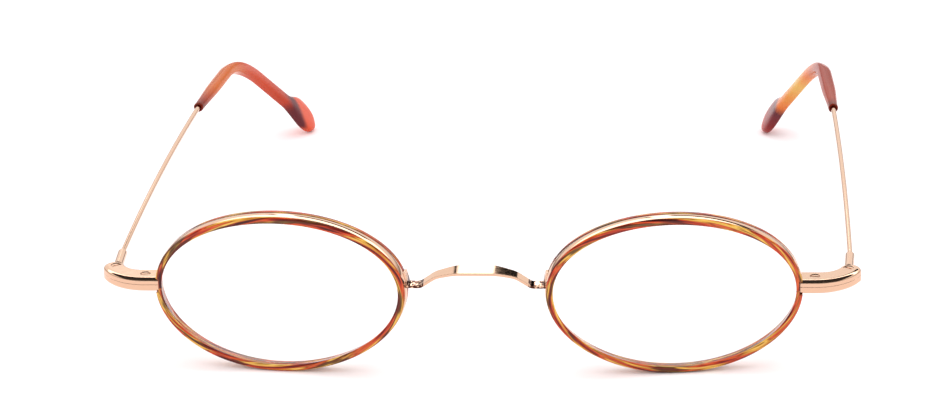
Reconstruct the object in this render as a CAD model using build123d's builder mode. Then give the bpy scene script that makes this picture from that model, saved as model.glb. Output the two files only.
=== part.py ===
from build123d import *
import os
from math import cos, radians, sin, tan

# Oval full-rim eyeglasses: metal eyewires inside grooved acetate rims, a saddle bridge, two-part end
# pieces with a closing screw, screw hinges, wire temples and bent acetate tips.
# Millimetres, +Z up. The glasses stand open on a flat surface at Z = 0, on both rims and both tips,
# facing -Y, and are the same left and right about X = 0.

# How the front stands
front_tilt = 4.3
wrap_angle = 6.94
rim_cant = -1.85

# Rims
rim_half_width = 23.0
rim_half_height = 14.95
base_curve_radius = 80.0
nose_gap = 25.28
ring_width = 1.25
ring_depth = 3.4
ring_edge_chamfer = 0.3
cutting_overrun = 3.0

# Metal eyewire in the rim's outer groove
band_thickness = 0.45
band_depth = 2.2
band_setback = 0.35
groove_clearance = 0.03

# Lens with its edge bevel
lens_setback = 1.0
lens_thickness = 1.4
lens_clearance = 0.03
bevel_height = 0.3
bevel_width = 0.6
bevel_chamfer = 0.15

# End pieces
hinge_spacing = 132.3
end_piece_lip = 0.6
end_piece_setback = 0.45
end_piece_drop = 0.35
end_piece_height = 2.5
end_piece_width = 4.6
end_tip_radius = 2.0
end_bend_radius = 6.32
end_bend_angle = 67.9
end_edge_round = 0.75
end_under_chamfer = 0.25
split_gap = 0.03
seat_clearance = 0.05

# Screws
screw_radius = 0.55
screw_head_radius = 0.87
screw_head_height = 0.45
screw_head_recess = 0.1
screw_slot_width = 0.3
screw_slot_depth = 0.2
screw_hole_clearance = 0.05
screw_end_gap = 0.15

# Temple ferrules with their hinge tongues
tongue_radius = 1.45
tongue_thickness = 0.9
tongue_clearance = 0.05
tongue_neck_width = 1.4
ferrule_radius = 0.88
ferrule_length = 7.05
ferrule_gap = 0.3
ferrule_shoulder_length = 0.9
ferrule_shoulder_depth = 0.36
ferrule_front_chamfer = 0.3

# Temple wires
wire_radius = 0.47
wire_run_back = 71.41
wire_run_in = 5.2
wire_bow_out = 0.3
wire_bow_up = 0.7
wire_socket_depth = 3.0
wire_insert_length = 10.0
wire_clearance = 0.02

# Temple tips
tip_leg_back = 31.7
tip_leg_in = 4.05
tip_leg_down = 1.95
tip_end_back = 22.1
tip_end_in = 11.4
tip_rest_rise = 0.87
tip_bend_radius = 18.0
tip_width = 2.7
tip_thickness = 2.1
tip_mouth_width = 1.8
tip_taper_length = 12.0
tip_edge_chamfer = 0.6
tip_mouth_radius = 0.62
tip_mouth_depth = 0.4
paddle_width = 6.4
paddle_end_length = 5.0
paddle_neck_length = 8.0

# Bridge
bridge_width = 3.5
bridge_dip_width = 1.9
bridge_thickness = 0.5
bridge_setback = 2.5
bridge_lean = 7.3
bridge_crest_reach = 4.0
bridge_crest_height = 3.78
bridge_crest_radius = 12.0
bridge_slope_reach = 7.2
bridge_slope_height = 3.13
bridge_slope_radius = 4.0
bridge_dip_reach = 9.95
bridge_dip_height = 1.2
bridge_dip_radius = 1.5
bridge_turn_reach = 12.1
bridge_turn_radius = 0.8
bridge_end_height = 2.3
foot_thickness = 0.35
foot_low = 0.9
foot_high = 3.9
foot_setback = 1.8
foot_depth = 1.6

# The front's own frame: X across, local Y back along the temples, local Z up the front. Its origin is
# between the rims, level with their middles, and the whole object is centred on Y = 0.
rim_edge_sag = rim_half_width**2 / (2 * base_curve_radius)
rim_foot_sag = rim_half_height**2 / (2 * base_curve_radius)
stand_height = rim_half_height * cos(radians(front_tilt)) - rim_foot_sag * sin(radians(front_tilt))
rim_centre_x = (
    nose_gap / 2
    + rim_half_width * cos(radians(wrap_angle))
    + rim_edge_sag * sin(radians(wrap_angle))
)
rim_outer_x = rim_centre_x + rim_half_width * cos(radians(wrap_angle)) - rim_edge_sag * sin(radians(wrap_angle))
rim_outer_y = rim_half_width * sin(radians(wrap_angle)) + rim_edge_sag * cos(radians(wrap_angle))

end_mid_y = rim_outer_y + end_piece_setback + end_piece_width / 2
end_inner_x = rim_outer_x - end_piece_lip
hinge_x = hinge_spacing / 2
end_bend_x = hinge_x - end_bend_radius * sin(radians(end_bend_angle))
end_bend_y = end_mid_y + end_bend_radius
hinge_y = end_bend_y - end_bend_radius * cos(radians(end_bend_angle))
end_tip_shift = end_piece_width / 2 - end_tip_radius
end_tip_x = hinge_x + end_tip_shift * sin(radians(end_bend_angle))
end_tip_y = hinge_y - end_tip_shift * cos(radians(end_bend_angle))
ferrule_y = end_tip_y + end_tip_radius + ferrule_gap
wire_start = Vector(hinge_x, ferrule_y + ferrule_length, -end_piece_drop)
wire_end = wire_start + Vector(-wire_run_in, wire_run_back, 0)
tip_corner = wire_end + Vector(-tip_leg_in, tip_leg_back, -tip_leg_down)
tip_end_y = tip_corner.Y + tip_end_back
tip_end_drop = (stand_height + tip_end_y * sin(radians(front_tilt)) - tip_rest_rise) / cos(radians(front_tilt))
tip_end = Vector(tip_corner.X - tip_end_in, tip_end_y, -tip_end_drop)
rear_y = tip_end_y * cos(radians(front_tilt)) + tip_end_drop * sin(radians(front_tilt))

front = Plane(
    origin=(0, -rear_y / 2, stand_height),
    x_dir=(1, 0, 0),
    z_dir=(0, -sin(radians(front_tilt)), cos(radians(front_tilt))),
)
rim_plane = Plane(front.location * Location((rim_centre_x, 0, 0), (90, wrap_angle, rim_cant)))
curve_centre = rim_plane.offset(-base_curve_radius)
bridge_plane = Plane(front.location * Location((0, bridge_setback, 0), (90 + bridge_lean, 0, 0)))
split_plane = front.offset(-end_piece_drop)


def rim_slab(outer_inset, inner_inset, front_depth, back_depth):
    """An oval band between two insets from the rim's outline, or a disc where the inner one is None,
    bent to the base curve between two depths behind the rim's front."""
    with BuildPart() as slab:
        with BuildSketch(rim_plane):
            Ellipse(rim_half_width - outer_inset, rim_half_height - outer_inset)
            if inner_inset is not None:
                Ellipse(rim_half_width - inner_inset, rim_half_height - inner_inset, mode=Mode.SUBTRACT)
        extrude(amount=rim_edge_sag + back_depth + cutting_overrun, both=True)
        with Locations(curve_centre):
            Sphere(base_curve_radius - front_depth, mode=Mode.INTERSECT)
            Sphere(base_curve_radius - back_depth, mode=Mode.SUBTRACT)
    return slab.part


def end_piece_seat(clearance):
    """The block of space that an end piece takes out of the rim's outer edge."""
    with BuildPart() as seat:
        with BuildSketch(split_plane):
            with Locations((end_inner_x - clearance, 0)):
                Rectangle(rim_half_width, 2 * rim_half_width, align=(Align.MIN, Align.CENTER))
        extrude(amount=end_piece_height / 2 + clearance, both=True)
    return seat.part


# Acetate rim: broken edges, an outer groove for the eyewire, an inner one for the lens bevel
band_groove = rim_slab(
    -cutting_overrun, band_thickness + groove_clearance, band_setback, band_setback + band_depth
)
bevel_setback = lens_setback + (lens_thickness - bevel_width) / 2
bevel_groove = rim_slab(
    ring_width - bevel_height - lens_clearance,
    ring_width + cutting_overrun,
    bevel_setback - lens_clearance,
    bevel_setback + bevel_width + lens_clearance,
)
ring_seat = end_piece_seat(seat_clearance)
with BuildPart() as rim_ring:
    add(rim_slab(0, ring_width, 0, ring_depth))
    round_edges = rim_ring.edges().filter_by(lambda edge: edge.is_closed)
    chamfer(round_edges, length=ring_edge_chamfer)
    add(band_groove, mode=Mode.SUBTRACT)
    add(bevel_groove, mode=Mode.SUBTRACT)
    add(ring_seat, mode=Mode.SUBTRACT)

# Eyewire: a flat metal band whose two ends meet the end piece
eyewire_band = rim_slab(0, band_thickness, band_setback, band_setback + band_depth)
eyewire_seat = end_piece_seat(0)
with BuildPart() as eyewire:
    add(eyewire_band)
    add(eyewire_seat, mode=Mode.SUBTRACT)

# Lens: a curved disc with a bevelled rib round its edge
lens_rib = rim_slab(
    ring_width - bevel_height, ring_width + bevel_height, bevel_setback, bevel_setback + bevel_width
)
lens_disc = rim_slab(ring_width + lens_clearance, None, lens_setback, lens_setback + lens_thickness)
with BuildPart() as lens:
    add(lens_rib)
    rib_edges = lens.edges().filter_by(lambda edge: edge.is_closed).sort_by(SortBy.LENGTH)[-2:]
    chamfer(rib_edges, length=bevel_chamfer)
    add(lens_disc)


# The end piece seen from above: straight beside the rim, bent back, and rounded off behind the hinge
half_width = end_piece_width / 2
inner_bend_y = end_mid_y + half_width
inner_bend_rise = end_tip_y + end_tip_radius * cos(radians(end_bend_angle)) - inner_bend_y
inner_bend_radius = inner_bend_rise / (1 - cos(radians(end_bend_angle)))
inner_bend_x = end_tip_x - (end_tip_radius + inner_bend_radius) * sin(radians(end_bend_angle))
with BuildSketch() as end_piece_outline:
    with BuildLine():
        Line((end_inner_x, end_mid_y - half_width), (end_bend_x, end_mid_y - half_width))
        CenterArc((end_bend_x, end_bend_y), end_bend_radius + half_width, -90, end_bend_angle)
        CenterArc((end_tip_x, end_tip_y), end_tip_radius, end_bend_angle - 90, 180)
        CenterArc((inner_bend_x, inner_bend_y + inner_bend_radius), inner_bend_radius, -90, end_bend_angle)
        Line((inner_bend_x, inner_bend_y), (end_inner_x, inner_bend_y))
        Line((end_inner_x, inner_bend_y), (end_inner_x, end_mid_y - half_width))
    make_face()

# The space in which the hinge tongue and its neck swing in from straight back
neck_side = tongue_neck_width / 2 + tongue_clearance
with BuildSketch() as tongue_pocket:
    with Locations((hinge_x, hinge_y)):
        Circle(tongue_radius + tongue_clearance)
    with Locations((hinge_x + neck_side, hinge_y - neck_side)):
        Rectangle(end_piece_width, end_piece_width, align=(Align.MAX, Align.MIN))

screw_places = [(end_bend_x, end_mid_y), (hinge_x, hinge_y)]
half_thickness = (end_piece_height - split_gap) / 2
pocket_depth = tongue_thickness / 2 + tongue_clearance - split_gap / 2

# Upper half of an end piece, with sunk seats for both screw heads
with BuildPart() as end_piece_upper:
    with BuildSketch(split_plane.offset(split_gap / 2)):
        add(end_piece_outline.sketch)
    extrude(amount=half_thickness)
    top_face = end_piece_upper.faces().sort_by(Axis(split_plane.origin, split_plane.z_dir))[-1]
    top_edges = top_face.edges().sort_by(Axis.X)[1:]
    fillet(top_edges, radius=end_edge_round)
    with BuildSketch(split_plane.offset(split_gap / 2)):
        add(tongue_pocket.sketch)
    extrude(amount=pocket_depth, mode=Mode.SUBTRACT)
    with Locations(split_plane.offset(end_piece_height / 2)):
        with Locations(screw_places):
            CounterBoreHole(
                radius=screw_radius + screw_hole_clearance,
                counter_bore_radius=screw_head_radius + screw_hole_clearance,
                counter_bore_depth=screw_head_height + screw_head_recess,
                depth=end_piece_height,
            )

# Lower half of an end piece, tapped for both screws
with BuildPart() as end_piece_lower:
    with BuildSketch(split_plane.offset(-split_gap / 2)):
        add(end_piece_outline.sketch)
    extrude(amount=-half_thickness)
    under_face = end_piece_lower.faces().sort_by(Axis(split_plane.origin, split_plane.z_dir))[0]
    under_edges = under_face.edges().sort_by(Axis.X)[1:]
    chamfer(under_edges, length=end_under_chamfer)
    with BuildSketch(split_plane.offset(-split_gap / 2)):
        add(tongue_pocket.sketch)
    extrude(amount=-pocket_depth, mode=Mode.SUBTRACT)
    with BuildSketch(split_plane):
        with Locations(screw_places):
            Circle(screw_radius)
    extrude(amount=-end_piece_height, mode=Mode.SUBTRACT)


def slotted_screw(place, slot_angle):
    """A cheese-head screw, its head sunk in the end piece's top and its slot turned by the angle."""
    head_top = end_piece_height / 2 - screw_head_recess
    with BuildPart() as screw:
        with BuildSketch(split_plane.offset(head_top)):
            with Locations(place):
                Circle(screw_head_radius)
        extrude(amount=-screw_head_height)
        with BuildSketch(split_plane.offset(head_top)):
            with Locations(place):
                Circle(screw_radius)
        extrude(amount=-(head_top + end_piece_height / 2 - screw_end_gap))
        with BuildSketch(split_plane.offset(head_top)):
            with Locations(place):
                Rectangle(2 * screw_head_radius + cutting_overrun, screw_slot_width, rotation=slot_angle)
        extrude(amount=-screw_slot_depth, mode=Mode.SUBTRACT)
    return screw


closing_screw = slotted_screw(screw_places[0], -10)
hinge_screw = slotted_screw(screw_places[1], -35)

# Temple wire: gently bowed, its ends straight in the ferrule and in the tip
start_point = front.from_local_coords(wire_start)
end_point = front.from_local_coords(wire_end)
middle_point = front.from_local_coords((wire_start + wire_end) / 2 + Vector(wire_bow_out, 0, wire_bow_up))
wire_bow = ThreePointArc(start_point, middle_point, end_point)
wire_start_direction = wire_bow % 0
wire_end_direction = wire_bow % 1
with BuildPart() as temple_wire:
    with BuildLine() as wire_path:
        Line(start_point - wire_start_direction * (wire_socket_depth - wire_clearance), start_point)
        add(wire_bow)
        Line(end_point, end_point + wire_end_direction * wire_insert_length)
    with BuildSketch(Plane(origin=wire_path.line @ 0, z_dir=wire_start_direction)):
        Circle(wire_radius)
    sweep(path=wire_path.line)

# Ferrule: a round socket for the wire, with a flat tongue that turns between the end piece halves
ferrule_plane = Plane(front.location * Location((hinge_x, ferrule_y, -end_piece_drop), (-90, 0, 0)))
with BuildPart() as temple_ferrule:
    with BuildSketch(ferrule_plane):
        Circle(ferrule_radius)
    extrude(amount=ferrule_length)
    barrel_ends = temple_ferrule.edges().filter_by(GeomType.CIRCLE).sort_by(Axis.Y)
    chamfer(barrel_ends[-1:], length=ferrule_shoulder_length, length2=ferrule_shoulder_depth)
    chamfer(barrel_ends[:1], length=ferrule_front_chamfer)
    with BuildSketch(split_plane.offset(-tongue_thickness / 2)):
        with Locations((hinge_x, hinge_y)):
            Circle(tongue_radius)
            Rectangle(
                tongue_neck_width,
                ferrule_y - hinge_y + ferrule_radius,
                align=(Align.CENTER, Align.MIN),
            )
            Circle(screw_radius + screw_hole_clearance, mode=Mode.SUBTRACT)
    extrude(amount=tongue_thickness)
    with Locations(Plane(origin=start_point, z_dir=wire_start_direction)):
        Hole(wire_radius + wire_clearance, depth=wire_socket_depth)

# Temple tip: a flat cut of acetate with bevelled edges, bent down behind the ear, with a broad end
corner_point = front.from_local_coords(tip_corner)
tip_end_point = front.from_local_coords(tip_end)
leg_direction = (corner_point - end_point).normalized()
end_direction = (tip_end_point - corner_point).normalized()
tip_plane = Plane(origin=corner_point, x_dir=leg_direction, z_dir=leg_direction.cross(end_direction))
tip_bend_angle = leg_direction.get_angle(end_direction)
bend_run = tip_bend_radius * tan(radians(tip_bend_angle / 2))
leg_length = (corner_point - end_point).length
end_length = (tip_end_point - corner_point).length
mouth_x = -leg_length
half_tip = tip_width / 2
half_mouth = tip_mouth_width / 2
half_paddle = paddle_width / 2
widest_along = end_length - paddle_end_length
neck_along = widest_along - paddle_neck_length


def on_end_leg(along, across):
    """A point of the tip's sketch, given along the bent-down leg and across it."""
    turn = radians(tip_bend_angle)
    return Vector(along * cos(turn) - across * sin(turn), along * sin(turn) + across * cos(turn))


end_leg_direction = on_end_leg(1, 0)
with BuildPart() as temple_tip:
    with BuildSketch(tip_plane):
        with BuildLine():
            for side in (-1, 1):
                Polyline(
                    (mouth_x, 0),
                    (mouth_x, side * half_mouth),
                    (mouth_x + tip_taper_length, side * half_tip),
                    (-bend_run, side * half_tip),
                )
                CenterArc((-bend_run, tip_bend_radius), tip_bend_radius - side * half_tip, -90, tip_bend_angle)
                Line(on_end_leg(bend_run, side * half_tip), on_end_leg(neck_along, side * half_tip))
                Spline(
                    on_end_leg(neck_along, side * half_tip),
                    on_end_leg(widest_along, side * half_paddle),
                    tangents=(end_leg_direction, end_leg_direction),
                )
            EllipticalCenterArc(
                on_end_leg(widest_along, 0),
                paddle_end_length,
                half_paddle,
                start_angle=-90,
                arc_size=180,
                rotation=tip_bend_angle,
            )
        make_face()
    extrude(amount=tip_thickness / 2, both=True)
    flat_faces = temple_tip.faces().sort_by(Axis(tip_plane.origin, tip_plane.z_dir))
    long_edges = (flat_faces[0].edges() + flat_faces[-1].edges()).sort_by(
        Axis(tip_plane.origin, tip_plane.x_dir)
    )
    chamfer(long_edges[4:], length=tip_edge_chamfer)
    with Locations(Plane(origin=end_point, z_dir=-wire_end_direction)):
        CounterBoreHole(
            radius=wire_radius + wire_clearance,
            counter_bore_radius=tip_mouth_radius,
            counter_bore_depth=tip_mouth_depth,
            depth=wire_insert_length + wire_clearance,
        )

# Bridge: a flat strap bowed over the nose, on two feet that follow the rims' nose sides
foot_band = rim_slab(-foot_thickness, 0, foot_setback, foot_setback + foot_depth)
with BuildPart() as bridge_foot:
    add(foot_band)
    with BuildSketch(front.offset(foot_low)):
        Rectangle(2 * rim_centre_x, 2 * rim_centre_x)
    extrude(amount=foot_high - foot_low, mode=Mode.INTERSECT)

with BuildPart() as rim_space:
    with BuildSketch(rim_plane):
        Ellipse(rim_half_width, rim_half_height)
    extrude(amount=rim_half_height, both=True)

bridge_end_reach = nose_gap / 2 + foot_thickness
bridge_plan = Plane(origin=bridge_plane.origin, x_dir=bridge_plane.x_dir, z_dir=bridge_plane.y_dir)
with BuildPart() as bridge:
    with BuildSketch(bridge_plane):
        with BuildLine() as strap_line:
            FilletPolyline(
                (0, bridge_crest_height),
                (bridge_crest_reach, bridge_crest_height),
                (bridge_slope_reach, bridge_slope_height),
                (bridge_dip_reach, bridge_dip_height),
                (bridge_turn_reach, bridge_dip_height),
                (bridge_end_reach, bridge_end_height),
                radius=[bridge_crest_radius, bridge_slope_radius, bridge_dip_radius, bridge_turn_radius],
            )
            mirror(strap_line.line, about=Plane.YZ)
        trace(strap_line.line, line_width=bridge_thickness)
    extrude(amount=-bridge_width)
    with BuildSketch(bridge_plan):
        with BuildLine():
            Spline(
                (-bridge_dip_reach, bridge_dip_width),
                (0, bridge_width),
                (bridge_dip_reach, bridge_dip_width),
                tangents=[(1, 0), (1, 0)],
            )
            Polyline(
                (bridge_dip_reach, bridge_dip_width),
                (nose_gap, bridge_dip_width),
                (nose_gap, 0),
                (-nose_gap, 0),
                (-nose_gap, bridge_dip_width),
                (-bridge_dip_reach, bridge_dip_width),
            )
        make_face()
    extrude(amount=nose_gap, both=True, mode=Mode.INTERSECT)
    add(rim_space.part, mode=Mode.SUBTRACT)
    add(mirror(rim_space.part, about=Plane.YZ, mode=Mode.PRIVATE), mode=Mode.SUBTRACT)
    add(bridge_foot.part)
    mirror(bridge_foot.part, about=Plane.YZ)

os.makedirs("parts", exist_ok=True)
bridge.part.label = "bridge"
export_step(bridge.part, "parts/bridge.step")

# Everything else comes in a right one and its mirror image
side_pieces = {
    "rim_ring": rim_ring,
    "eyewire": eyewire,
    "lens": lens,
    "end_piece_upper": end_piece_upper,
    "end_piece_lower": end_piece_lower,
    "closing_screw": closing_screw,
    "hinge_screw": hinge_screw,
    "temple_ferrule": temple_ferrule,
    "temple_wire": temple_wire,
    "temple_tip": temple_tip,
}
for name, piece in side_pieces.items():
    right = piece.part
    right.label = f"right_{name}"
    export_step(right, f"parts/right_{name}.step")
    left = mirror(right, about=Plane.YZ)
    left.label = f"left_{name}"
    export_step(left, f"parts/left_{name}.step")
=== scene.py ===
from math import cos, pi, radians, sin

import bpy
import numpy as np
from mathutils import Matrix, Vector


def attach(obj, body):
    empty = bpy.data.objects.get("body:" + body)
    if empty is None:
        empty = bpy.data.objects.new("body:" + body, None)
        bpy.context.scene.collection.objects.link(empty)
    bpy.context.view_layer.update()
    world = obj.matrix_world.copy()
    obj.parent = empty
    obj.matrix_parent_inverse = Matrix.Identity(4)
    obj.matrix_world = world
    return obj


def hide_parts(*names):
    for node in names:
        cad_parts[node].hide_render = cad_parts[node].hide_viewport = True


# Oval eyeglasses, open, standing on a white table on both rims and both tips, and facing -Y.
# Sizes are in millimetres. Each mesh is turned to metres where it is made.
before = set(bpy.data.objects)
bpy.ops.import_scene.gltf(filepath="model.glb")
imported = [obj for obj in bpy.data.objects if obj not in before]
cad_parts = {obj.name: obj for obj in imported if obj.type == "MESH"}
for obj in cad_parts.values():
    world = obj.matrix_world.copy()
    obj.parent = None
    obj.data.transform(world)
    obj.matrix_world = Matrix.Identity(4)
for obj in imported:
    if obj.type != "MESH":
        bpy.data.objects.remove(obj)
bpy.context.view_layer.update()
MM = 0.001

# Rim rings
# Each is a thin oval of mottled cellulose acetate, cut from sheet, turned and polished. It is curved
# like the lens, grooved outside for the metal eyewire, and notched where the end piece passes through.
FRONT_TILT = radians(4.3)
FRONT_ORIGIN = np.array([0.0, -74.332, 14.803])
RIM_CENTRE_X = 35.871
RIM_WRAP = radians(6.94)
RIM_CANT = radians(-1.85)
RIM_HALF_WIDTH = 23.0
RIM_HALF_HEIGHT = 14.95
BASE_CURVE_RADIUS = 80.0
RING_WIDTH = 1.25
RING_DEPTH = 3.4
RING_FRONT_ROUND = 0.33
RING_BACK_ROUND = 0.2
TAPER_START = 0.45
TAPER_MIDDLE = (0.8, 1.6)
TAPER_END = (0.62, 3.2)
GROOVE_FRONT = 0.35
GROOVE_BACK = 2.55
GROOVE_FLOOR = 0.48
NOTCH_X = 57.65
NOTCH_INSET = 0.65
NOTCH_MIDDLE = -0.35
NOTCH_HALF_HEIGHT = 1.3
NOTCH_REACH = 0.5
NOTCH_STEPS = 400
RING_STEPS = 420
FINE_STEPS = 8400
ROUND_STEPS = 7
SHARP_ANGLE = radians(35)
STREAK_STRETCH = 14.0
STREAK_SLANT = 1.4
GRAIN_SEEDS = {"right": 0.0, "left": 41.3}


def turn_x(angle):
    """The matrix that turns about X by an angle in radians, Y towards Z."""
    return np.array([[1, 0, 0], [0, cos(angle), -sin(angle)], [0, sin(angle), cos(angle)]])


def turn_y(angle):
    """The matrix that turns about Y by an angle in radians, Z towards X."""
    return np.array([[cos(angle), 0, sin(angle)], [0, 1, 0], [-sin(angle), 0, cos(angle)]])


def turn_z(angle):
    """The matrix that turns about Z by an angle in radians, X towards Y."""
    return np.array([[cos(angle), -sin(angle), 0], [sin(angle), cos(angle), 0], [0, 0, 1]])


def from_front(points):
    """Points of the front's own tilted frame, turned back by its tilt and moved to where it stands."""
    return points @ turn_x(FRONT_TILT).T + FRONT_ORIGIN


def rim_points(angle, inset, depth):
    """Points of the right rim in the front's frame. In the rim's plane a point lies at the oval's angle, on
    the oval drawn in by the inset. It lies behind the plane by the sag of a sphere that the depth shrinks."""
    across = (RIM_HALF_WIDTH - inset) * np.cos(angle)
    up = (RIM_HALF_HEIGHT - inset) * np.sin(angle)
    radius = BASE_CURVE_RADIUS - depth
    out = np.sqrt(radius**2 - across**2 - up**2) - BASE_CURVE_RADIUS
    local = np.stack(np.broadcast_arrays(across, up, out), axis=-1)
    turned = local @ (turn_x(pi / 2) @ turn_y(RIM_WRAP) @ turn_z(RIM_CANT)).T
    return turned + np.array([RIM_CENTRE_X, 0, 0])


def rounded_corner(centre, radius, start, end):
    """Points (inset, depth) on a circular arc from one angle to another, in degrees."""
    angle = np.radians(np.linspace(start, end, ROUND_STEPS))
    return np.stack([centre[0] + radius * np.cos(angle), centre[1] + radius * np.sin(angle)], axis=-1)


def grid_mesh(name, points, mirrored, grain=None, close_rows=True):
    """A mesh object over a grid of points in millimetres. Each cell is a quad, each row of points is a
    loop, and the rows either close too or end in a cap of one face. The left piece is the right one with
    X turned to minus X, and its faces are listed the other way round, so that they still face outwards.
    A grain gives each point its place in the material's own pattern."""
    rows, columns = points.shape[:2]
    index = np.arange(rows * columns).reshape(rows, columns)
    caps = [] if close_rows else [index[0, ::-1].tolist(), index[-1].tolist()]
    if close_rows:
        index = np.concatenate([index, index[:1]])
    index = np.concatenate([index, index[:, :1]], axis=1)
    quads = np.stack([index[:-1, :-1], index[:-1, 1:], index[1:, 1:], index[1:, :-1]], axis=-1)
    faces = quads.reshape(-1, 4).tolist() + caps
    placed = points.reshape(-1, 3) * MM
    if mirrored:
        placed = placed * [-1, 1, 1]
        faces = [face[::-1] for face in faces]
    mesh = bpy.data.meshes.new(name)
    mesh.from_pydata(placed.tolist(), [], faces)
    mesh.polygons.foreach_set("use_smooth", np.ones(len(faces), dtype=bool))
    mesh.set_sharp_from_angle(angle=SHARP_ANGLE)
    if grain is not None:
        mesh.attributes.new("grain", "FLOAT_VECTOR", "POINT").data.foreach_set("vector", grain.ravel())
    piece = bpy.data.objects.new(name, mesh)
    bpy.context.scene.collection.objects.link(piece)
    return piece


def to_linear(colour):
    """A hex sRGB colour as linear RGBA: c / 12.92 near black, else ((c + 0.055) / 1.055) to the 2.4."""
    srgb = np.array([int(colour[place : place + 2], 16) for place in (1, 3, 5)]) / 255
    linear = np.where(srgb <= 0.04045, srgb / 12.92, ((srgb + 0.055) / 1.055) ** 2.4)
    return (*linear.tolist(), 1.0)


def add_node(tree, kind, inputs=None, stops=None, **settings):
    """Adds a node with its settings. Each input, by name or number, gets a value, or a link where it is
    given another node's output. Stops are the places and hex colours of a ramp."""
    node = tree.nodes.new(kind)
    for name, value in settings.items():
        setattr(node, name, value)
    for key, value in (inputs or {}).items():
        if isinstance(value, bpy.types.NodeSocket):
            tree.links.new(value, node.inputs[key])
        else:
            node.inputs[key].default_value = value
    if stops:
        elements = node.color_ramp.elements
        while len(elements) < len(stops):
            elements.new(0.5)
        for element, (place, colour) in zip(elements, stops):
            element.position = place
            element.color = to_linear(colour)
    return node


def empty_material(name):
    """A node material with nothing in it but its output."""
    material = bpy.data.materials.new(name)
    material.use_nodes = True
    material.node_tree.nodes.clear()
    return material, material.node_tree


# Mottled acetate is several sheets of coloured plastic pressed together, so the turned ring shows long
# thin streaks that run with it, slanting a little. Polished, it is glossy and lets some light in.
STREAK_WIDTH = 0.55
VEIN_WIDTH = 0.7
VEIN_SHIFT = (31.0, 17.0, 5.0)
acetate, tree = empty_material("tortoise_cellulose_acetate")
grain = add_node(tree, "ShaderNodeAttribute", attribute_name="grain").outputs["Vector"]
streaks = add_node(
    tree,
    "ShaderNodeTexNoise",
    {"Vector": grain, "Scale": 1 / STREAK_WIDTH, "Detail": 1.5, "Roughness": 0.4, "Distortion": 0.25},
)
hues = add_node(
    tree,
    "ShaderNodeValToRGB",
    {"Fac": streaks.outputs["Fac"]},
    [
        (0.30, "#3A0E0C"),
        (0.38, "#7A2014"),
        (0.44, "#BC3E1E"),
        (0.49, "#C85A2C"),
        (0.54, "#88361A"),
        (0.59, "#C28832"),
        (0.66, "#E4B658"),
        (0.73, "#8C5E22"),
    ],
)
shifted = add_node(tree, "ShaderNodeVectorMath", {0: grain, 1: VEIN_SHIFT}, operation="ADD")
veins = add_node(
    tree,
    "ShaderNodeTexNoise",
    {"Vector": shifted.outputs[0], "Scale": 1 / VEIN_WIDTH, "Detail": 2.0, "Distortion": 0.3},
)
darkness = add_node(
    tree,
    "ShaderNodeMapRange",
    {"Value": veins.outputs["Fac"], "From Min": 0.52, "From Max": 0.60, "To Max": 0.85},
    interpolation_type="SMOOTHSTEP",
)
colour = add_node(
    tree,
    "ShaderNodeMix",
    {"Factor": darkness.outputs[0], 6: hues.outputs["Color"], 7: to_linear("#340E10")},
    data_type="RGBA",
)
surface = add_node(
    tree,
    "ShaderNodeBsdfPrincipled",
    {"Base Color": colour.outputs[2], "Roughness": 0.1, "IOR": 1.45, "Specular IOR Level": 0.35},
)
add_node(tree, "ShaderNodeOutputMaterial", {"Surface": surface.outputs[0]})

# A ring's section, as insets from the oval and depths behind the front: from the groove's front edge over
# the face, back along the inside, out over the back edge, and in and forward again along the groove.
ring_profile = np.concatenate(
    [
        [(0, GROOVE_FRONT)],
        rounded_corner((RING_FRONT_ROUND, RING_FRONT_ROUND), RING_FRONT_ROUND, 180, 270),
        rounded_corner((RING_WIDTH - RING_FRONT_ROUND, RING_FRONT_ROUND), RING_FRONT_ROUND, 270, 360),
        [(RING_WIDTH, TAPER_START), TAPER_MIDDLE],
        rounded_corner((TAPER_END[0] - RING_BACK_ROUND, TAPER_END[1]), RING_BACK_ROUND, 0, 90),
        rounded_corner((RING_BACK_ROUND, RING_DEPTH - RING_BACK_ROUND), RING_BACK_ROUND, 90, 180),
        [(0, GROOVE_BACK), (GROOVE_FLOOR, GROOVE_BACK), (GROOVE_FLOOR, GROOVE_FRONT)],
    ]
)
# Angles evenly spaced by length along the oval, with the notch's two edges each listed twice. The length is
# summed over fine steps of the angle, and the edges are found by height on the oval round angle 0.
fine_angles = np.linspace(-pi, pi, FINE_STEPS + 1)
outline_steps = np.hypot(RIM_HALF_WIDTH * np.sin(fine_angles), RIM_HALF_HEIGHT * np.cos(fine_angles))
outline_length = np.concatenate([[0], np.cumsum((outline_steps[1:] + outline_steps[:-1]) / 2)])
outline_length *= fine_angles[1] - fine_angles[0]
whole_length = outline_length[-1]
even_angles = np.interp(np.arange(RING_STEPS) * whole_length / RING_STEPS, outline_length, fine_angles)
near_notch = np.linspace(-NOTCH_REACH, NOTCH_REACH, NOTCH_STEPS + 1)
notch_heights = rim_points(near_notch, NOTCH_INSET, 0)[:, 2]
notch_edges = NOTCH_MIDDLE + np.array([-NOTCH_HALF_HEIGHT, NOTCH_HALF_HEIGHT])
notch_start, notch_end = np.interp(notch_edges, notch_heights, near_notch)
before = even_angles[even_angles < notch_start]
inside = even_angles[(even_angles > notch_start) & (even_angles < notch_end)]
after = even_angles[even_angles > notch_end]
ring_angles = np.concatenate(
    [before, [notch_start, notch_start], inside, [notch_end, notch_end], after]
)
notched = np.zeros(len(ring_angles), dtype=bool)
notched[len(before) + 1 : len(before) + 3 + len(inside)] = True
ring_grid = rim_points(ring_angles[:, None], ring_profile[None, :, 0], ring_profile[None, :, 1])
ring_grid[notched, :, 0] = np.minimum(ring_grid[notched, :, 0], NOTCH_X)

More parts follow.
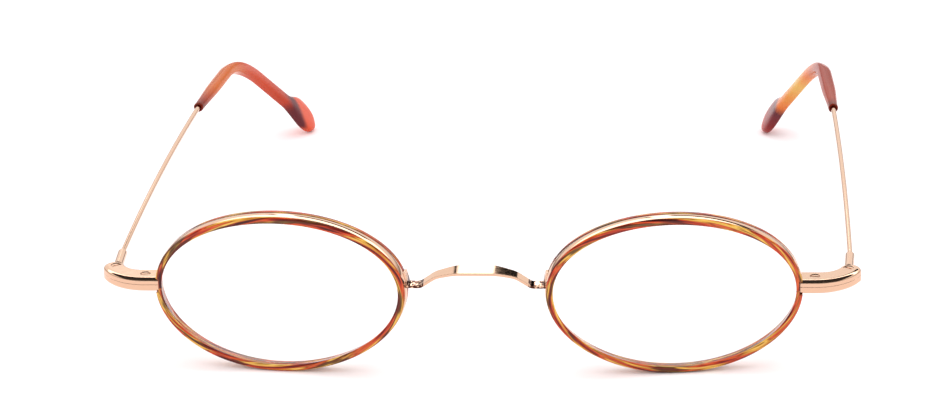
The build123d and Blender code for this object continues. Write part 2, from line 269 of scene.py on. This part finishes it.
# The grain's place at a point: round a circle as short as the oval divided by the stretch, and the
# distance round the section, which shifts with the way round the oval from the notch. So the streaks come
# out long and cross the face at a slant, and break off only at the notch, where the ring is slit.
section_steps = np.hypot(*np.diff(ring_profile, axis=0).T)
section_place = np.concatenate([[0], np.cumsum(section_steps)])
ring_turn = 2 * pi * np.interp(ring_angles, fine_angles, outline_length) / whole_length
grain_radius = whole_length / (2 * pi * STREAK_STRETCH)
for side in ("right", "left"):
    seed = GRAIN_SEEDS[side]
    turn = ring_turn[:, None]
    slant = STREAK_SLANT * ((turn + pi) % (2 * pi))
    ring_grain = np.stack(
        np.broadcast_arrays(
            grain_radius * np.cos(turn), grain_radius * np.sin(turn), section_place + slant + seed
        ),
        axis=-1,
    )
    ring = grid_mesh(f"{side}_rim_ring_acetate", from_front(ring_grid), side == "left", ring_grain)
    ring.data.materials.append(acetate)
    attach(ring, "front")
    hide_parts(f"{side}_rim_ring")

# Metal parts
# Eyewires, bridge, end pieces, screws, ferrules and temple wires are nickel silver, drawn, stamped or
# milled, then polished and plated rose gold. The plating gives a mirror with a faint orange peel, and the
# polishing rounds every edge a little.
PLATING_COLOUR = "#DDB69A"
PEEL_WIDTH = 0.8
PEEL_DEPTH = 0.01
EDGE_ROUND = 0.12
METAL_PIECES = (
    "end_piece_upper",
    "end_piece_lower",
    "closing_screw",
    "hinge_screw",
    "temple_ferrule",
    "temple_wire",
)


def rose_gold_plating(name):
    """The plating's material, with its tree, its shader and its place on the piece, for what is added."""
    material, tree = empty_material(name)
    place = add_node(tree, "ShaderNodeTexCoord").outputs["Object"]
    peel = add_node(
        tree, "ShaderNodeTexNoise", {"Vector": place, "Scale": 1 / (PEEL_WIDTH * MM), "Detail": 1.0}
    )
    polish = add_node(
        tree, "ShaderNodeMapRange", {"Value": peel.outputs["Fac"], "To Min": 0.04, "To Max": 0.1}
    )
    worn_edges = add_node(tree, "ShaderNodeBevel", {"Radius": EDGE_ROUND * MM}, samples=6)
    bump = add_node(
        tree,
        "ShaderNodeBump",
        {
            "Height": peel.outputs["Fac"],
            "Strength": 0.15,
            "Distance": PEEL_DEPTH * MM,
            "Normal": worn_edges.outputs[0],
        },
    )
    surface = add_node(
        tree,
        "ShaderNodeBsdfPrincipled",
        {
            "Base Color": to_linear(PLATING_COLOUR),
            "Metallic": 1.0,
            "Roughness": polish.outputs[0],
            "Normal": bump.outputs[0],
        },
    )
    add_node(tree, "ShaderNodeOutputMaterial", {"Surface": surface.outputs[0]})
    return material, tree, surface, place


def finish_node(node, material):
    """Gives one of the solid parts its material in place of the plain one."""
    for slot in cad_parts[node].material_slots:
        slot.link = "OBJECT"
        slot.material = material


metal = rose_gold_plating("polished_rose_gold_plating")[0]
for side in ("right", "left"):
    for piece in METAL_PIECES:
        finish_node(f"{side}_{piece}", metal)

# Bridge
# It has the same plating, but its two dips beside the solder get a patchy dark brown: painted shade, standing
# in for the dark reflections there.
DIP_X = 10.9
DIP_REACH = 1.5
DIP_SHADE_WIDTH = 0.7
bridge_metal, tree, surface, place = rose_gold_plating("rose_gold_plating_with_painted_shade_in_the_dips")
split = add_node(tree, "ShaderNodeSeparateXYZ", {0: place})
across = add_node(tree, "ShaderNodeMath", {0: split.outputs["X"]}, operation="ABSOLUTE")
from_dip = add_node(
    tree, "ShaderNodeMath", {0: across.outputs[0], 1: DIP_X * MM, 2: DIP_REACH * MM}, operation="COMPARE"
)
shade_noise = add_node(
    tree, "ShaderNodeTexNoise", {"Vector": place, "Scale": 1 / (DIP_SHADE_WIDTH * MM), "Detail": 1.0}
)
shade_patches = add_node(
    tree,
    "ShaderNodeMapRange",
    {"Value": shade_noise.outputs["Fac"], "From Min": 0.38, "From Max": 0.52},
    interpolation_type="SMOOTHSTEP",
)
amount = add_node(
    tree, "ShaderNodeMath", {0: from_dip.outputs[0], 1: shade_patches.outputs[0]}, operation="MULTIPLY"
)
# Painted shade: the dips' colour is mixed towards dark brown in noisy patches.
painted_dip_shade = add_node(
    tree,
    "ShaderNodeMix",
    {"Factor": amount.outputs[0], 6: to_linear(PLATING_COLOUR), 7: to_linear("#4A281E")},
    data_type="RGBA",
)
tree.links.new(painted_dip_shade.outputs[2], surface.inputs["Base Color"])
finish_node("bridge", bridge_metal)

# Eyewires
# Each is a band of the same metal, rolled with a slightly domed outside, bent round the ring in its
# groove, and closed by the end piece that its two ends are soldered to.
BAND_FRONT = 0.42
BAND_BACK = 2.48
BAND_THICKNESS = 0.45
BAND_CROWN = 0.2
CROWN_STEPS = 13
# The outside is a parabola over the band's depth. At its middle it stands half the crown out of the oval,
# and at its edges it lies as far inside.
crown_share = np.linspace(1, -1, CROWN_STEPS)
crown_insets = BAND_CROWN * (crown_share**2 - 0.5)
crown_depths = (BAND_FRONT + BAND_BACK) / 2 + (BAND_BACK - BAND_FRONT) / 2 * crown_share
band_profile = np.concatenate(
    [
        [(BAND_THICKNESS, BAND_FRONT), (BAND_THICKNESS, BAND_BACK)],
        np.stack([crown_insets, crown_depths], axis=-1),
    ]
)
band_angles = np.concatenate([[notch_end], after, before + 2 * pi, [notch_start + 2 * pi]])
band_grid = rim_points(band_angles[:, None], band_profile[None, :, 0], band_profile[None, :, 1])
for side in ("right", "left"):
    band = grid_mesh(f"{side}_eyewire_band", from_front(band_grid), side == "left", close_rows=False)
    band.data.materials.append(metal)
    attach(band, "front")
    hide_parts(f"{side}_eyewire")

# Lenses
# Clear display lenses with a polished front and back. On white they almost vanish. A pale film that turns
# more opaque at grazing angles paints the light their edges gather as a thin pale line: a painted reflection.
lens_plastic, tree = empty_material("clear_lens_plastic")
facing = add_node(tree, "ShaderNodeLayerWeight", {"Blend": 0.5}).outputs["Facing"]
# Painted reflection: the pale film's opacity rises towards grazing angles.
painted_sheen_cover = add_node(
    tree,
    "ShaderNodeMapRange",
    {"Value": facing, "From Min": 0.3, "From Max": 0.8, "To Min": 0.03, "To Max": 0.08},
)
surface = add_node(
    tree,
    "ShaderNodeBsdfPrincipled",
    {"Base Color": to_linear("#FFF1DC"), "Roughness": 0.02, "IOR": 1.5, "Alpha": painted_sheen_cover.outputs[0]},
)
add_node(tree, "ShaderNodeOutputMaterial", {"Surface": surface.outputs[0]})
for side in ("right", "left"):
    finish_node(f"{side}_lens", lens_plastic)

# Temple tips
# Each is a flat bar of the same kind of acetate, drilled for the wire, bent behind the ear and polished, with
# a broad end. Its colours change along its length, slanting where the sheet's layers slant, and are darker at
# the mouth, where painted shade fills the wire hole.
TIP_MOUTH = np.array([60.95, 93.4, -0.35])
TIP_CORNER = TIP_MOUTH + np.array([-3.4, 32.3, -2.6])
TIP_END_REACH = np.array([-12.05, 21.5])
TIP_REST_RISE = 0.92
TIP_BEND_RADIUS = 25.0
LEG_HALF_WIDTH = 1.05
LEG_HALF_THICKNESS = 1.3
TIP_HALF_WIDTH = 1.35
TIP_HALF_THICKNESS = 1.05
MOUTH_HALF_WIDTH = 0.9
MOUTH_TAPER = 14.0
MOUTH_HOLE_RADIUS = 0.66
MOUTH_HOLE_DEPTH = 0.25
HOLE_FLOOR_RADIUS = 0.1
MOUTH_ROUND = 0.25
PADDLE_HALF_WIDTH = 3.45
PADDLE_END_LENGTH = 5.0
PADDLE_NECK_LENGTH = 7.2
END_CLOSING = 0.9998
END_BLUNTNESS = 7
END_POWER = 2.4
END_LEFT = 0.01
MOUTH_POWER = 2.2
SECTION_POWER = 3.0
SECTION_STEPS = 56
MOUTH_STEPS = 6
TIP_STEPS = 260
END_STEPS = 52
# The first stops, darker, colour the wire hole and the mouth round it: painted shade in the hole.
TIP_COLOURS = {
    "right": [
        (0.0, "#691E12"),
        (0.012, "#6A2C1E"),
        (0.03, "#7C3022"),
        (0.07, "#98402F"),
        (0.3, "#8F3828"),
        (0.44, "#943F30"),
        (0.53, "#C0704F"),
        (0.58, "#D07846"),
        (0.67, "#D0A65A"),
        (0.75, "#D0863F"),
        (0.83, "#CE6E38"),
        (0.86, "#5E3036"),
        (0.94, "#8A2420"),
        (1.0, "#C0301E"),
    ],
    "left": [
        (0.0, "#691E12"),
        (0.012, "#6A2C1E"),
        (0.03, "#7C3022"),
        (0.08, "#9E442C"),
        (0.18, "#BC602C"),
        (0.42, "#BC602C"),
        (0.52, "#B84A2E"),
        (0.62, "#BA4A32"),
        (0.78, "#A83C28"),
        (0.83, "#5E2A2E"),
        (0.862, "#5E2A2E"),
        (0.893, "#CC4E30"),
        (1.0, "#CE4A28"),
    ],
}
TIP_SLANTS = {"right": 0.1, "left": -0.75}
WAVER_SHARES = (0.12, 0.5, 0.5)
WAVER_REACH = 2.5

corner_height = TIP_REST_RISE - FRONT_ORIGIN[2] - (TIP_CORNER[1] + TIP_END_REACH[1]) * sin(FRONT_TILT)
tip_end = np.array([*(TIP_CORNER[:2] + TIP_END_REACH), corner_height / cos(FRONT_TILT)])
leg_length = np.linalg.norm(TIP_CORNER - TIP_MOUTH)
end_length = np.linalg.norm(tip_end - TIP_CORNER)
leg_way = (TIP_CORNER - TIP_MOUTH) / leg_length
end_way = (tip_end - TIP_CORNER) / end_length
bend_axis = np.cross(leg_way, end_way)
bend_axis /= np.linalg.norm(bend_axis)
bend_angle = np.arccos(leg_way @ end_way)
bend_run = TIP_BEND_RADIUS * np.tan(bend_angle / 2)
bend_length = TIP_BEND_RADIUS * bend_angle
tip_length = leg_length + end_length - 2 * bend_run + bend_length


def tip_centres(along):
    """Points of the tip's middle line at lengths from its mouth, with the way across the bar there: a
    straight leg, an arc round the bend's middle, and a straight end."""
    turned = np.clip((along - (leg_length - bend_run)) / TIP_BEND_RADIUS, 0, bend_angle)[:, None]
    leg_side = np.cross(bend_axis, leg_way)
    on_leg = np.minimum(along, leg_length - bend_run)[:, None] * leg_way
    on_bend = TIP_BEND_RADIUS * (np.sin(turned) * leg_way + (1 - np.cos(turned)) * leg_side)
    on_end = np.maximum(along - (leg_length - bend_run) - bend_length, 0)[:, None] * end_way
    side_way = np.cos(turned) * leg_side - np.sin(turned) * leg_way
    return TIP_MOUTH + on_leg + on_bend + on_end, side_way


def eased_share(share):
    """A share held between 0 and 1 and eased at both ends: three times its square less twice its cube."""
    held = np.clip(share, 0, 1)
    return held**2 * (3 - 2 * held)


# Half the bar's width and thickness: drawn out from the mouth, thicker than wide on the leg and wider than
# thick past the bend, then eased out to the broad end, whose outline and thickness both close on an oval.
# They stop just short of closing, so that the last section is still a loop, which a cap fills.
widest = tip_length - PADDLE_END_LENGTH
tip_along = np.concatenate(
    [
        MOUTH_ROUND * (1 - np.cos(np.linspace(0, pi / 2, MOUTH_STEPS))),
        np.linspace(MOUTH_ROUND, widest, TIP_STEPS)[1:-1],
        widest + PADDLE_END_LENGTH * np.sin(np.linspace(0, pi / 2, END_STEPS)),
    ]
)
past_mouth = eased_share(tip_along / MOUTH_TAPER)
past_bend = eased_share((tip_along - leg_length + bend_run) / bend_length)
past_neck = eased_share(1 + (tip_along - widest) / PADDLE_NECK_LENGTH)
end_share = np.clip((tip_along - widest) / PADDLE_END_LENGTH, 0, 1)
half_widths = MOUTH_HALF_WIDTH + (LEG_HALF_WIDTH - MOUTH_HALF_WIDTH) * past_mouth
half_widths += (TIP_HALF_WIDTH - LEG_HALF_WIDTH) * past_bend
half_thicknesses = MOUTH_HALF_WIDTH + (LEG_HALF_THICKNESS - MOUTH_HALF_WIDTH) * past_mouth
half_thicknesses += (TIP_HALF_THICKNESS - LEG_HALF_THICKNESS) * past_bend
half_widths += (PADDLE_HALF_WIDTH - half_widths) * past_neck
half_widths *= np.sqrt(1 - end_share**2 * END_CLOSING)
half_thicknesses *= (1 - end_share**END_BLUNTNESS) ** (1 / END_POWER) + END_LEFT
mouth_share = np.clip(tip_along / MOUTH_ROUND, 0, 1)
mouth_inset = MOUTH_ROUND * (1 - np.sqrt(1 - (1 - mouth_share) ** 2))
half_widths -= mouth_inset
half_thicknesses -= mouth_inset


def squared(wave, power):
    """A cosine or sine raised to 2 / power, its sign kept, which draws a circle out to a rounded square."""
    return np.sign(wave) * np.abs(wave) ** (2 / power)


section_turn = np.linspace(0, 2 * pi, SECTION_STEPS, endpoint=False)
section_powers = np.interp(tip_along, [0, MOUTH_TAPER], [MOUTH_POWER, SECTION_POWER])[:, None]
centres, side_ways = tip_centres(tip_along)
tip_across = half_widths[:, None] * squared(np.cos(section_turn), section_powers)
tip_depth = half_thicknesses[:, None] * squared(np.sin(section_turn), section_powers)
tip_grid = centres[:, None] + tip_across[..., None] * side_ways[:, None] + tip_depth[..., None] * bend_axis
# The hole's floor and wall come first, from near the floor's middle out to the mouth
round_ways = np.cos(section_turn)[:, None] * side_ways[0] + np.sin(section_turn)[:, None] * bend_axis
hole_rings = [
    TIP_MOUTH + depth * leg_way + radius * round_ways
    for depth, radius in (
        (MOUTH_HOLE_DEPTH, HOLE_FLOOR_RADIUS),
        (MOUTH_HOLE_DEPTH, MOUTH_HOLE_RADIUS),
        (0, MOUTH_HOLE_RADIUS),
    )
]
tip_grid = np.concatenate([hole_rings, tip_grid])
hole_grain = np.zeros((len(hole_rings), SECTION_STEPS))
grain_along = np.concatenate([hole_grain[:, 0], tip_along])[:, None]
grain_across = np.concatenate([hole_grain, tip_across])
grain_depth = np.concatenate([hole_grain, tip_depth])
for side in ("right", "left"):
    tip_acetate, tree = empty_material(f"{side}_tip_cellulose_acetate")
    grain = add_node(tree, "ShaderNodeAttribute", attribute_name="grain").outputs["Vector"]
    flattened = add_node(tree, "ShaderNodeVectorMath", {0: grain, 1: WAVER_SHARES}, operation="MULTIPLY")
    waver = add_node(
        tree, "ShaderNodeTexNoise", {"Vector": flattened.outputs[0], "Scale": 1.0, "Detail": 2.0}
    )
    split = add_node(tree, "ShaderNodeSeparateXYZ", {0: grain})
    slanted = add_node(
        tree,
        "ShaderNodeMath",
        {0: split.outputs["Y"], 1: TIP_SLANTS[side], 2: split.outputs["X"]},
        operation="MULTIPLY_ADD",
    )
    wavy = add_node(
        tree,
        "ShaderNodeMath",
        {0: waver.outputs["Fac"], 1: WAVER_REACH, 2: slanted.outputs[0]},
        operation="MULTIPLY_ADD",
    )
    along = add_node(
        tree,
        "ShaderNodeMapRange",
        {
            "Value": wavy.outputs[0],
            "From Min": WAVER_REACH / 2,
            "From Max": tip_length + WAVER_REACH / 2,
        },
    )
    hues = add_node(tree, "ShaderNodeValToRGB", {"Fac": along.outputs[0]}, TIP_COLOURS[side])
    surface = add_node(
        tree,
        "ShaderNodeBsdfPrincipled",
        {
            "Base Color": hues.outputs["Color"],
            "Roughness": 0.16,
            "IOR": 1.45,
            "Specular IOR Level": 0.08,
            "Subsurface Weight": 0.15,
            "Subsurface Radius": (1.0, 0.35, 0.2),
            "Subsurface Scale": 0.8 * MM,
        },
    )
    add_node(tree, "ShaderNodeOutputMaterial", {"Surface": surface.outputs[0]})
    tip_grain = np.stack(np.broadcast_arrays(grain_along, grain_across, grain_depth), axis=-1)
    tip = grid_mesh(
        f"{side}_temple_tip_acetate", from_front(tip_grid), side == "left", tip_grain, close_rows=False
    )
    tip.data.materials.append(tip_acetate)
    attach(tip, f"{side}_temple")
    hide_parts(f"{side}_temple_tip")

# Table
# A plain sheet of matt white paper, lit brightly enough to vanish into the background. Its size is in
# metres.
TABLE_SIZE = 6.0
paper, tree = empty_material("matt_white_paper")
surface = add_node(
    tree,
    "ShaderNodeBsdfPrincipled",
    {"Base Color": to_linear("#F8F2F3"), "Roughness": 1.0, "Specular IOR Level": 0.0},
)
add_node(tree, "ShaderNodeOutputMaterial", {"Surface": surface.outputs[0]})
half = TABLE_SIZE / 2
table_corners = [(-half, -half, 0), (half, -half, 0), (half, half, 0), (-half, half, 0)]
table_mesh = bpy.data.meshes.new("table")
table_mesh.from_pydata(table_corners, [], [(0, 1, 2, 3)])
table_mesh.materials.append(paper)
table = bpy.data.objects.new("table", table_mesh)
bpy.context.scene.collection.objects.link(table)

# Studio light
# A white tent all round. What the polished parts mirror has a dark room along the horizon, a dark gap
# overhead, and at the back a bright softbox and strip beside a dark panel. Each patch of it is a rectangle,
# given by its middle's azimuth from +Y and its elevation, half its width and half its height as angles, all
# in degrees, and its brightness. A later patch covers an earlier one.
TENT_BRIGHTNESS = 1.42
MIRRORED_BRIGHTNESS = 1.2
HORIZON_BRIGHTNESS = 0.3
HORIZON_TOP = 14
HORIZON_BOTTOM = 3
PATCH_BLUR = 0.035
SKY_PATCHES = {
    "gap overhead": (180, 67, 66, 55, 0.04),
    "softbox": (0, 52.5, 60, 9.5, 3.0),
    "dark panel": (15.5, 38.4, 19, 5.6, 0.02),
    "dark stand": (-10.8, 39, 1.8, 6, 0.03),
    "strip light": (-6.6, 43, 2.6, 15, 3.5),
}
world = bpy.data.worlds.new("studio_tent")
bpy.context.scene.world = world
world.use_nodes = True
tree = world.node_tree
tree.nodes.clear()
direction = add_node(tree, "ShaderNodeTexCoord").outputs["Generated"]


def within_angle(distance, ahead, half_angle):
    """One where the distance over the length ahead is under the half angle's tangent, fading to 0."""
    slope = add_node(tree, "ShaderNodeMath", {0: distance, 1: ahead}, operation="DIVIDE")
    size = add_node(tree, "ShaderNodeMath", {0: slope.outputs[0]}, operation="ABSOLUTE")
    edge = np.tan(radians(half_angle))
    fade = add_node(
        tree,
        "ShaderNodeMapRange",
        {"Value": size.outputs[0], "From Min": edge + PATCH_BLUR / 2, "From Max": edge - PATCH_BLUR / 2},
        interpolation_type="SMOOTHSTEP",
    )
    return fade.outputs[0]


level = MIRRORED_BRIGHTNESS
for azimuth, elevation, half_across, half_up, brightness in SKY_PATCHES.values():
    turn = turn_z(-radians(azimuth)) @ turn_x(radians(elevation))
    shares = [
        add_node(tree, "ShaderNodeVectorMath", {0: direction, 1: axis}, operation="DOT_PRODUCT")
        for axis in turn.T.tolist()
    ]
    aside, ahead, above = (share.outputs["Value"] for share in shares)
    in_width = within_angle(aside, ahead, half_across)
    in_height = within_angle(above, ahead, half_up)
    in_both = add_node(tree, "ShaderNodeMath", {0: in_width, 1: in_height}, operation="MULTIPLY")
    in_front = add_node(tree, "ShaderNodeMath", {0: ahead, 1: 0.0}, operation="GREATER_THAN")
    mask = add_node(
        tree, "ShaderNodeMath", {0: in_both.outputs[0], 1: in_front.outputs[0]}, operation="MULTIPLY"
    )
    covered = add_node(tree, "ShaderNodeMix", {"Factor": mask.outputs[0], 2: level, 3: brightness})
    level = covered.outputs[0]
height = add_node(tree, "ShaderNodeSeparateXYZ", {0: direction}).outputs["Z"]
haze = add_node(
    tree,
    "ShaderNodeMapRange",
    {"Value": height, "From Min": sin(radians(HORIZON_TOP)), "From Max": sin(radians(HORIZON_BOTTOM))},
)
hazed = add_node(tree, "ShaderNodeMix", {"Factor": haze.outputs[0], 2: level, 3: HORIZON_BRIGHTNESS})
mirrored = add_node(tree, "ShaderNodeLightPath").outputs["Is Glossy Ray"]
strength = add_node(
    tree, "ShaderNodeMix", {"Factor": mirrored, 2: TENT_BRIGHTNESS, 3: hazed.outputs[0]}
)
background = add_node(
    tree, "ShaderNodeBackground", {"Color": to_linear("#FFFFFF"), "Strength": strength.outputs[0]}
)
add_node(tree, "ShaderNodeOutputWorld", {"Surface": background.outputs[0]})

# Camera
# It stands in front of the object and looks down on it, a little turned and rolled. Its places are in
# millimetres from a point on the table just behind the rims, and its angles in radians.
PHOTO_WIDTH = 950
SENSOR_WIDTH = 36.0
CAMERA_FOCAL_PIXELS = 6574.6
CAMERA_DISTANCE = 1167.488
CAMERA_DOWN = 0.3141
CAMERA_YAW = -0.0909
CAMERA_ROLL = -0.0253
CAMERA_MIDDLE_Y = -73.135
CAMERA_AIM = (0.3381, 0, 32.418)
unturn = Matrix.Rotation(CAMERA_YAW, 3, "Z").transposed()
ahead = Vector((0, cos(CAMERA_DOWN), -sin(CAMERA_DOWN)))
above = Vector((0, sin(CAMERA_DOWN), cos(CAMERA_DOWN)))
aside = Vector((1, 0, 0))
camera_right = unturn @ (cos(CAMERA_ROLL) * aside + sin(CAMERA_ROLL) * above)
camera_up = unturn @ (cos(CAMERA_ROLL) * above - sin(CAMERA_ROLL) * aside)
camera_back = unturn @ -ahead
camera_place = unturn @ (Vector(CAMERA_AIM) - CAMERA_DISTANCE * ahead) + Vector((0, CAMERA_MIDDLE_Y, 0))
camera_data = bpy.data.cameras.new("camera")
camera_data.sensor_width = SENSOR_WIDTH
camera_data.lens = CAMERA_FOCAL_PIXELS * SENSOR_WIDTH / PHOTO_WIDTH
camera = bpy.data.objects.new("camera", camera_data)
bpy.context.scene.collection.objects.link(camera)
axes = Matrix((camera_right, camera_up, camera_back)).transposed()
camera.matrix_world = Matrix.Translation(camera_place * MM) @ axes.to_4x4()
bpy.context.scene.camera = camera
bpy.context.scene.view_settings.view_transform = "Standard"
